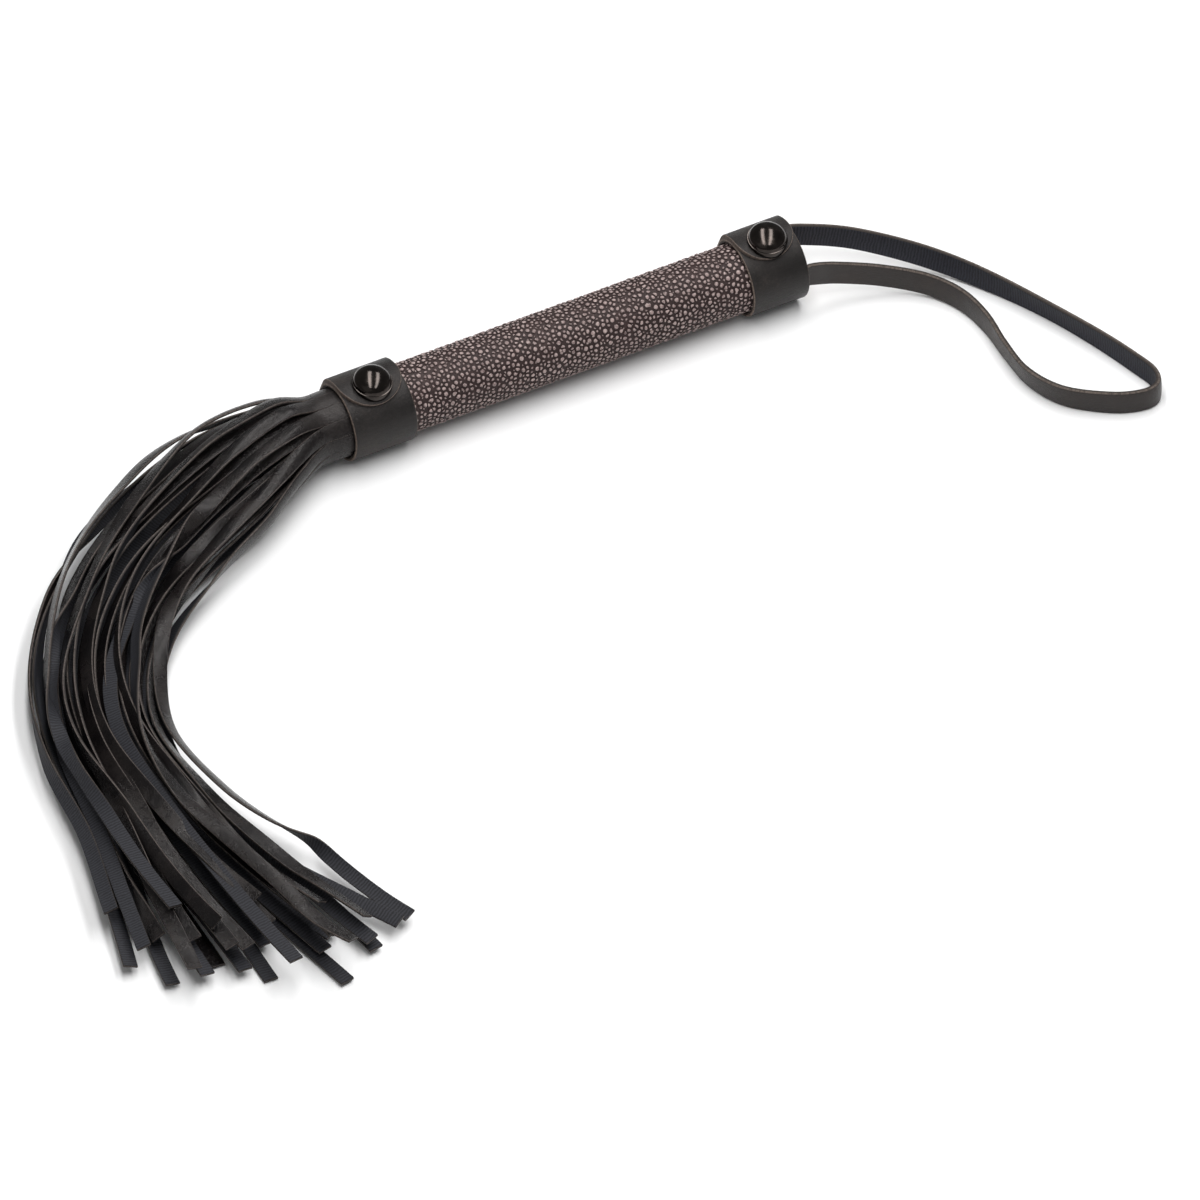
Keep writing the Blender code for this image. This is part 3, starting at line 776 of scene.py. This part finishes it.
def collar_lap(low, high):
    """Sections from the middle line to the outline, for stations along the outline. The lap
    climbs from the band to full height in its first few degrees."""
    middle, half = (low + high) / 2, (high - low) / 2 - 0.15 * MM
    straight = (LAP_ROUND_FROM - LAP_START) * LAP_TOP
    swing = np.linspace(0, math.pi, LAP_ROUND_STEPS)
    run = np.linspace(0, straight, LAP_RUN_STEPS, endpoint=False)
    edge_along = np.concatenate([run, straight + half * np.sin(swing), run[::-1]])
    edge_side = np.concatenate([np.full(LAP_RUN_STEPS, -half), -half * np.cos(swing),
                                np.full(LAP_RUN_STEPS, half)])
    spine = np.concatenate([run, np.full(LAP_ROUND_STEPS, straight), run[::-1]])
    inset = np.concatenate([np.array([1, 0.66, 0.33]) * half,
                            np.array([1.6, 1, 0.45, 0.1, 0]) * LAP_CORNER])
    drop = np.array([0, 0, 0, 0, 0, 0.10, 0.45, 1.0]) * LAP_CORNER
    share = (1 - inset / half)[None]
    along = spine[:, None] + (edge_along - spine)[:, None] * share
    side = edge_side[:, None] * share
    climb = LAP_CLIMB * (1 - eased(along, 0, 9 * MM))
    top = LAP_TOP - drop[None] - climb
    upper = collar_point(middle + side, LAP_START + along / LAP_TOP, top)
    foot = COLLAR_RADIUS - 0.35 * MM
    lower = collar_point(middle + side[:, ::-1], LAP_START + along[:, ::-1] / LAP_TOP,
                         np.minimum(foot, top[:, ::-1] - 0.2 * MM))
    grid = np.concatenate([upper, lower], axis=1)
    face = np.array([1, 1, 1, 1, 1, 0.5] + [0] * 10)
    marks = np.stack(np.broadcast_arrays(np.hstack([along, along[:, ::-1]]),
                                         np.hstack([side, side[:, ::-1]]), face), axis=-1)
    index = np.arange(grid.size // 3).reshape(grid.shape[:2])
    quads = np.stack([index[:-1, :-1], index[:-1, 1:], index[1:, 1:], index[1:, :-1]], -1)
    ends = [index[0].tolist() + index[-1][::-1].tolist()]
    return (grid.reshape(-1, 3), quads.reshape(-1, 4).tolist() + ends), marks.reshape(-1, 3)


def build_collar(which):
    """The band and the lap in one piece. The lap's sections meet on its middle line, so the
    doubled points there are merged before the faces are turned outwards again."""
    low, high = (corner[0] for corner in corners(f"{which}_collar"))
    band, band_marks = collar_band(low, high)
    lap, lap_marks = collar_lap(low, high)
    thing = piece(f"{which}_collar_leather", [band, lap], np.concatenate([band_marks, lap_marks]))
    whole = bmesh.new()
    whole.from_mesh(thing.data)
    bmesh.ops.remove_doubles(whole, verts=whole.verts[:], dist=0.000005)
    bmesh.ops.dissolve_degenerate(whole, edges=whole.edges[:], dist=0.000001)
    bmesh.ops.recalc_face_normals(whole, faces=whole.faces[:])
    whole.to_mesh(thing.data)
    whole.free()
    thing.data.shade_smooth()
    thing.data.set_sharp_from_angle(angle=SHARP)
    return thing


collars = {which: build_collar(which) for which in ("tail", "butt")}
print([(c.name, len(c.data.polygons)) for c in collars.values()])

# %% [markdown]
# ## The domed studs
#
# A stud is a pressed cap: a low dome, a thin rim, and a skirt cut to the round of the collar
# it sits on. It is a profile turned about its own axis, and the skirt's foot follows the
# cylinder of the lap, so that it touches all the way round. With a flat foot it would be a
# plain turned shape, but it would then stand on two points only.

# %% Build the studs
STUD_TURN = math.radians(11)
STUD_RADIUS = 8.0 * MM
STUD_RIM, STUD_DOME = 1.1 * MM, 4.2 * MM
STUD_SEAT = COLLAR_RADIUS + 2.1 * MM
STUD_STEPS = 96


def build_stud(which):
    """A turned profile in ninety-six steps, whose last rows lie on the lap's cylinder."""
    low, high = (corner[0] for corner in corners(f"{which}_collar"))
    place = (low + high) / 2
    swing = np.radians(np.linspace(0, 82, 22))
    dome_radius = STUD_RADIUS - 0.45 * MM
    radius = np.concatenate([dome_radius * np.sin(swing[1:]),
                             STUD_RADIUS + np.array([-0.38, -0.12, 0.0, 0.0, -0.08]) * MM])
    height = np.concatenate([STUD_RIM + STUD_DOME * np.cos(swing[1:]),
                             np.array([1.05, 1.0, 0.8, 0.35, 0.0]) * MM])
    turn = np.linspace(0, 2 * math.pi, STUD_STEPS, endpoint=False)
    r, t = radius[:, None], turn[None]
    seat = np.sqrt(LAP_TOP**2 - (r * np.sin(t)) ** 2)
    level = eased(height, 0.2 * MM, 0.9 * MM)[:, None]
    z = level * (STUD_SEAT + height[:, None]) + (1 - level) * (seat + height[:, None] * 0.6)
    foot = np.sqrt(LAP_TOP**2 - (0.5 * STUD_RADIUS * np.sin(turn)) ** 2) - 0.2 * MM
    x = np.vstack([r * np.cos(t), 0.5 * STUD_RADIUS * np.cos(t)])
    y = np.vstack([r * np.sin(t), 0.5 * STUD_RADIUS * np.sin(t)])
    z = np.vstack([z, foot[None]])
    cosine, sine = math.cos(STUD_TURN), math.sin(STUD_TURN)
    grid = np.stack([place + x, y * cosine - z * sine, AXIS_Z + y * sine + z * cosine], axis=-1)
    return piece(f"{which}_stud_dome", [loft(grid)])


studs = {which: build_stud(which) for which in ("tail", "butt")}
print(len(studs), "studs")

# %% [markdown]
# ## Node groups shared by the leathers
#
# Every leather here has a fine grain of tiny cells with creases between them, and soft
# stains where hands and the table have rubbed it. Both are made once as node groups and
# placed in each material with their own values.

# %% Helpers for node trees
def node(tree, kind, inputs=None, **settings):
    """Adds a node, sets its properties, and gives its inputs a value or a socket."""
    made = tree.nodes.new("ShaderNode" + kind)
    for key, value in settings.items():
        setattr(made, key, value)
    for key, value in (inputs or {}).items():
        if isinstance(value, bpy.types.NodeSocket):
            tree.links.new(value, made.inputs[key])
        else:
            made.inputs[key].default_value = value
    return made


def maths(tree, operation, *values):
    """One Math node over these values or sockets."""
    return node(tree, "Math", dict(enumerate(values)), operation=operation).outputs[0]


def ramp(tree, value, low, high, to_low=0.0, to_high=1.0):
    """A smooth step from to_low, below low, to to_high, above high."""
    return node(tree, "MapRange", {0: value, 1: low, 2: high, 3: to_low, 4: to_high},
                interpolation_type="SMOOTHSTEP").outputs[0]


def mixed(tree, factor, first, second):
    """The first colour where the factor is 0 and the second where it is 1."""
    return node(tree, "Mix", {0: factor, 6: first, 7: second}, data_type="RGBA").outputs[2]


def noise(tree, place, scale, detail, roughness=0.5):
    """Cloudy noise between 0 and 1, with this many lumps to a metre."""
    return node(tree, "TexNoise", {"Vector": place, "Scale": scale, "Detail": detail,
                                   "Roughness": roughness}).outputs[0]


def group(name, inputs, outputs):
    """A node group with named sockets. Gives the tree, its input node and its output node."""
    tree = bpy.data.node_groups.new(name, "ShaderNodeTree")
    for socket, kind, value in inputs:
        made = tree.interface.new_socket(socket, in_out="INPUT", socket_type="NodeSocket" + kind)
        if value is not None:
            made.default_value = value
    for socket, kind in outputs:
        tree.interface.new_socket(socket, in_out="OUTPUT", socket_type="NodeSocket" + kind)
    return tree, tree.nodes.new("NodeGroupInput"), tree.nodes.new("NodeGroupOutput")


def placed(tree, shared, **values):
    """Puts a shared group into a material, with its own value for each named input."""
    made = tree.nodes.new("ShaderNodeGroup")
    made.node_tree = shared
    for key, value in values.items():
        socket = made.inputs[key.replace("_", " ")]
        if isinstance(value, bpy.types.NodeSocket):
            tree.links.new(value, socket)
        else:
            socket.default_value = value
    return made


print("node helpers ready")

# %% [markdown]
# The grain is a pattern of cells, bent by noise so that none is regular, with a fine
# roughness over it and a few long creases, which lie where a slow noise passes its middle
# value. The stains are one slow noise for the patches and a quicker one for the spots that
# have been rubbed. A tiled image texture would be simpler, but it would repeat and blur.

# %% Make the grain and the stains
grain, into, out = group(
    "leather grain",
    [("Place", "Vector", None), ("Cells per metre", "Float", 1600.0), ("Creases", "Float", 0.5)],
    [("Height", "Float")])
spot, cells_per_metre, creases = into.outputs[0], into.outputs[1], into.outputs[2]
bent = node(grain, "TexNoise", {"Vector": spot, "Scale": 400.0, "Detail": 2.0})
shift = node(grain, "VectorMath", {0: bent.outputs["Color"], 1: (0.0012, 0.0012, 0.0012)},
             operation="MULTIPLY")
moved = node(grain, "VectorMath", {0: spot, 1: shift.outputs[0]}, operation="ADD")
cells = node(grain, "TexVoronoi", {"Vector": moved.outputs[0], "Scale": cells_per_metre},
             feature="DISTANCE_TO_EDGE")
crease = ramp(grain, cells.outputs["Distance"], 0.0, 0.22)
fold = maths(grain, "ABSOLUTE", maths(grain, "SUBTRACT", noise(grain, spot, 170.0, 4.0, 0.62), 0.5))
fold = ramp(grain, fold, 0.0, 0.05)
height = maths(grain, "MULTIPLY_ADD", noise(grain, spot, 2600.0, 3.0), 0.35, crease)
height = maths(grain, "MULTIPLY_ADD", fold, creases, height)
grain.links.new(height, out.inputs[0])

stains, into, out = group("rubbed stains", [("Place", "Vector", None), ("Size", "Float", 60.0)],
                          [("Stain", "Float"), ("Rubbed", "Float")])
broad = noise(stains, into.outputs[0], into.outputs[1], 5.0, 0.6)
small = noise(stains, into.outputs[0], 900.0, 4.0, 0.7)
stains.links.new(ramp(stains, broad, 0.32, 0.68), out.inputs[0])
worn = maths(stains, "MULTIPLY_ADD", small, 0.6, broad)
stains.links.new(ramp(stains, worn, 0.78, 1.02), out.inputs[1])
print(len(bpy.data.node_groups), "node groups")

# %% [markdown]
# A strip of leather shows three faces: the glazed grain side, the cut edge and the fibrous
# flesh side with its faint cross ribs. The cut edge is dark, and along its half next to the
# grain side it carries a painted highlight, a pale line broken up by the nap. The mark on each
# point says which face it belongs to. Three materials on each strip would do the same with
# hard borders, while one material can blend them.

# %% Make the strip leathers
WARM = (1.0, 0.95, 0.93, 1.0)
PALER_NAP = 2.6
# The cut edge's own dark colour, as a share of the painted highlight colour on it.
DARKER_EDGE = 0.22
ROUGH_EDGE = 0.72


def material(name):
    """A new material, its node tree, its shader and the place of each point in it."""
    made = bpy.data.materials.new(name)
    made.use_nodes = True
    tree = made.node_tree
    return made, tree, tree.nodes["Principled BSDF"], node(tree, "TexCoord").outputs["Object"]


def colour(red, green, blue, times=1.0):
    """A colour with full alpha, made lighter or darker by a factor."""
    return (times * red, times * green, times * blue, 1.0)


def finish_with(tree, shader, base, roughness, height=None, strength=0.0, depth=0.0):
    """Feeds the colour and the roughness and, through a bump of this depth, the normal."""
    tree.links.new(base, shader.inputs["Base Color"])
    tree.links.new(roughness, shader.inputs["Roughness"])
    if height is not None:
        bump = node(tree, "Bump", {"Height": height, "Strength": strength, "Distance": depth})
        tree.links.new(bump.outputs[0], shader.inputs["Normal"])


def strip_leather(name, dark, warm, flesh, edge_highlight_and_wear, roughness, ribs, gloss):
    """Grain, cut edge and flesh side of a strip, chosen by the side mark. The ribs of the
    flesh side are a wave along the strip, and its nap is fine noise."""
    made, tree, shader, place = material(name)
    marks = node(tree, "Attribute", attribute_name="marks").outputs["Vector"]
    along, across, side = node(tree, "SeparateXYZ", {0: marks}).outputs
    on_grain = ramp(tree, side, 0.35, 0.85)
    on_flesh = ramp(tree, side, -0.35, -0.85)
    texture = placed(tree, grain, Place=place, Cells_per_metre=1400.0, Creases=0.25)
    stain, rubbed = placed(tree, stains, Place=place, Size=55.0).outputs
    flat_place = node(tree, "CombineXYZ", {0: along, 1: across}).outputs[0]
    rib = node(tree, "TexWave", {"Vector": flat_place, "Scale": ribs, "Distortion": 3.2,
                                 "Detail": 2.0, "Detail Scale": 1.5}).outputs[1]
    nap = noise(tree, flat_place, 1500.0, 5.0, 0.75)
    grain_colour = mixed(tree, stain, colour(*dark), colour(*warm))
    grain_colour = mixed(tree, maths(tree, "MULTIPLY", rubbed, 0.07), grain_colour, colour(*edge_highlight_and_wear))
    ribbed = maths(tree, "MULTIPLY_ADD", rib, 0.5, nap)
    flesh_colour = mixed(tree, ramp(tree, ribbed, 0.42, 1.02), colour(*flesh),
                         colour(*flesh, times=PALER_NAP))
    # The pale half of the cut edge next to the grain side is a painted highlight line, broken up by
    # the nap; the rest of the edge keeps its own dark colour.
    edge_highlight_mask = maths(tree, "MULTIPLY", ramp(tree, nap, 0.30, 0.62), ramp(tree, side, -0.06, 0.06))
    edge_with_highlight = mixed(tree, edge_highlight_mask, colour(*edge_highlight_and_wear, times=DARKER_EDGE), colour(*edge_highlight_and_wear))
    base = mixed(tree, on_grain, edge_with_highlight, grain_colour)
    base = mixed(tree, on_flesh, base, flesh_colour)
    smooth = ramp(tree, stain, 0.0, 1.0, roughness - 0.05, roughness + 0.1)
    rough = node(tree, "Mix", {0: on_grain, 2: ROUGH_EDGE, 3: smooth}).outputs[0]
    furrows = maths(tree, "MULTIPLY", ribbed, 2.4)
    relief = node(tree, "Mix", {0: on_grain, 2: furrows, 3: texture.outputs[0]}).outputs[0]
    relief = maths(tree, "MULTIPLY_ADD", rib, 0.25, relief)
    shader.inputs["Specular IOR Level"].default_value = gloss
    shader.inputs["Specular Tint"].default_value = WARM
    finish_with(tree, shader, base, rough, relief, 0.8, 0.00006)
    return made


# Each edge colour below is the painted highlight on the cut edges, and also the colour of real rubbed
# wear on the grain side.
fall_leather = strip_leather(
    "fall_leather", dark=(0.0042, 0.0037, 0.0040), warm=(0.0100, 0.0082, 0.0080),
    flesh=(0.0115, 0.012, 0.0145), edge_highlight_and_wear=(0.105, 0.088, 0.080),
    roughness=0.22, ribs=235.0, gloss=0.27)
strap_leather = strip_leather(
    "strap_leather", dark=(0.012, 0.0095, 0.0088), warm=(0.019, 0.0145, 0.013),
    flesh=(0.010, 0.011, 0.0155), edge_highlight_and_wear=(0.11, 0.088, 0.075),
    roughness=0.36, ribs=250.0, gloss=0.36)
collar_leather = strip_leather(
    "collar_leather", dark=(0.0105, 0.0095, 0.0092), warm=(0.015, 0.013, 0.0125),
    flesh=(0.012, 0.011, 0.011), edge_highlight_and_wear=(0.20, 0.155, 0.13),
    roughness=0.40, ribs=160.0, gloss=0.27)
print("strip leathers ready")

# %% [markdown]
# The sleeve's granules are pale where they are rubbed and dark in the ground between them.
# Their own tone is a mark on each granule, and the rise mark says how high a point lies.
# Colouring by height alone would make every granule the same, which no hide is.

# %% Make the pebbled leather
pebbled, tree, shader, place = material("pebbled_leather")
marks = node(tree, "Attribute", attribute_name="marks").outputs["Vector"]
tone, rise, around = node(tree, "SeparateXYZ", {0: marks}).outputs
texture = placed(tree, grain, Place=place, Cells_per_metre=2600.0, Creases=0.3)
stain, rubbed = placed(tree, stains, Place=place, Size=70.0).outputs
speckle = noise(tree, place, 1900.0, 4.0, 0.7)
top = mixed(tree, tone, colour(0.15, 0.100, 0.096), colour(0.37, 0.275, 0.26))
top = mixed(tree, ramp(tree, speckle, 0.42, 0.66), top, colour(0.50, 0.405, 0.385))
top = mixed(tree, maths(tree, "MULTIPLY", stain, 0.30), top, colour(0.085, 0.056, 0.053))
ground = mixed(tree, rubbed, colour(0.020, 0.0088, 0.0085), colour(0.036, 0.018, 0.017))
rim = maths(tree, "MULTIPLY_ADD", speckle, 0.35, rise)
base = mixed(tree, ramp(tree, rim, 0.62, 1.02), ground, top)
shader.inputs["Specular IOR Level"].default_value = 0.45
shader.inputs["Specular Tint"].default_value = WARM
finish_with(tree, shader, base, ramp(tree, rise, 0.4, 1.0, 0.60, 0.33),
            texture.outputs[0], 0.5, 0.00008)
print("pebbled leather ready")

# %% [markdown]
# The studs are blackened metal with a high polish: nearly black, with only faint rubbing
# marks. The dowel is plain wood, whose rings are drawn out along the handle by squeezing
# the pattern's X. The screws and tacks are bright steel inside it.

# %% Make the metals and the wood
stud_metal, tree, shader, place = material("stud_metal")
stain, rubbed = placed(tree, stains, Place=place, Size=180.0).outputs
base = mixed(tree, stain, colour(0.030, 0.026, 0.024), colour(0.050, 0.042, 0.038))
shader.inputs["Metallic"].default_value = 1.0
finish_with(tree, shader, base, ramp(tree, rubbed, 0.0, 1.0, 0.13, 0.24),
            noise(tree, place, 700.0, 3.0), 0.05, 0.00003)

steel, tree, shader, place = material("fixing_steel")
brushed = noise(tree, place, 1500.0, 4.0)
base = mixed(tree, brushed, colour(0.34, 0.33, 0.32), colour(0.52, 0.51, 0.50))
shader.inputs["Metallic"].default_value = 1.0
finish_with(tree, shader, base, ramp(tree, brushed, 0.3, 0.7, 0.28, 0.42))

wood, tree, shader, place = material("dowel_wood")
drawn = node(tree, "Mapping", {"Vector": place, "Scale": (0.06, 1.0, 1.0)}).outputs[0]
growth = node(tree, "TexWave", {"Vector": drawn, "Scale": 160.0, "Distortion": 3.0,
                                "Detail": 3.0}, wave_type="RINGS", rings_direction="X")
pores = noise(tree, drawn, 2400.0, 4.0)
base = mixed(tree, growth.outputs[1], colour(0.30, 0.185, 0.10), colour(0.42, 0.28, 0.165))
base = mixed(tree, ramp(tree, pores, 0.5, 0.75), base, colour(0.17, 0.10, 0.055))
finish_with(tree, shader, base, ramp(tree, pores, 0.3, 0.7, 0.55, 0.75), pores, 0.3, 0.0001)
print(len(bpy.data.materials), "materials")

# %% [markdown]
# ## Which piece stands for which solid
#
# Every new piece hides the imported solid that it stands for. The sleeve, the collars, the
# studs and the rolled hides ride on the handle's body. The falls and the strap get their
# material and keep their place, on no body.

# %% Give the pieces their materials, and the handle's pieces their body
def stands_for(thing, name, finish):
    """Gives a piece its material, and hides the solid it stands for."""
    thing.data.materials.append(finish)
    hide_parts(name)


on_handle = (
    [(sleeve, "handle_wrap", pebbled, "pebbled_leather")]
    + [(collars[w], f"{w}_collar", collar_leather, "collar_leather") for w in collars]
    + [(studs[w], f"{w}_stud_cap", stud_metal, "stud_metal") for w in studs]
    + [(hides[h], h, fall_leather, "fall_leather") for h in hides]
)
for thing, name, finish, slot in on_handle:
    stands_for(thing, name, finish)
    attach(thing, "handle")

for name, (thing, middles) in falls.items():
    stands_for(thing, name, fall_leather)
    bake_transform(thing)

stands_for(strap, "wrist_strap", strap_leather)
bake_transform(strap)

carried = {"core_dowel": wood, "tail_stud_screw": steel, "butt_stud_screw": steel,
           "strap_tack_far": steel, "strap_tack_near": steel}
for name, finish in carried.items():
    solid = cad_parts[name]
    solid.data.materials.clear()
    solid.data.materials.append(finish)
print(len(on_handle) + len(falls) + 1, "pieces made,", len(carried), "solids kept")

# %% [markdown]
# ## Floor and light
#
# The floor is a plain pale sheet. Two long soft boxes hang overhead, one each side of the
# camera's line, which gives the studs their two upright highlights and the strips of
# leather a soft sheen. A weak square one stands near the camera's line and lightens what
# faces it. The world is pale, so the shadows stay open. One round light would be enough to
# see by, but it would leave a single hard dot on each dome.

# %% Make the floor and the lights
FLOOR_HALF = 3
floor_corners = [(x * FLOOR_HALF, y * FLOOR_HALF, 0) for x, y in ((-1, -1), (1, -1), (1, 1), (-1, 1))]
floor_mesh = bpy.data.meshes.new("floor")
floor_mesh.from_pydata(floor_corners, [], [(0, 1, 2, 3)])
floor = bpy.data.objects.new("floor", floor_mesh)
bpy.context.scene.collection.objects.link(floor)
pale, tree, shader, place = material("pale_floor")
mottle = noise(tree, place, 3.0, 2.0)
base = mixed(tree, mottle, colour(0.86, 0.86, 0.86), colour(0.9, 0.9, 0.9))
tree.links.new(base, shader.inputs["Base Color"])
shader.inputs["Roughness"].default_value = 0.9
floor_mesh.materials.append(pale)


def soft_box(name, place, across, along, power, aim_at):
    """An area light that faces aim_at, its long side turned like the camera."""
    light = bpy.data.lights.new(name, "AREA")
    light.shape = "RECTANGLE"
    light.size, light.size_y = across, along
    light.energy = power
    thing = bpy.data.objects.new(name, light)
    bpy.context.scene.collection.objects.link(thing)
    away = unit(np.array(place, float) - np.array(aim_at, float))
    side = unit(np.cross(forward, away))
    stand(thing, place, side, np.cross(away, side), away)


target = np.array([-0.04, -0.08, 0.0])
LIGHT_HEIGHT = 1.3
BOX_ACROSS, BOX_ALONG = 0.22, 2.0
BOX_POWER = 14.0
FRONT_SIZE, FRONT_POWER = 1.2, 1.2
WORLD_STRENGTH = 0.24
for name, offset in (("left_box", -0.13), ("right_box", 0.46)):
    place = target + offset * right + 0.10 * forward + np.array([0, 0, LIGHT_HEIGHT])
    soft_box(name, place, BOX_ACROSS, BOX_ALONG, BOX_POWER, target)
soft_box("front_box", target + 1.5 * back - 0.6 * right, FRONT_SIZE, FRONT_SIZE, FRONT_POWER,
         target)

world = bpy.data.worlds.new("studio")
bpy.context.scene.world = world
world.use_nodes = True
world.node_tree.nodes["Background"].inputs[0].default_value = colour(1.0, 1.0, 1.0)
world.node_tree.nodes["Background"].inputs[1].default_value = WORLD_STRENGTH
bpy.context.scene.view_settings.view_transform = "Standard"
print(len(bpy.data.lights), "lights")
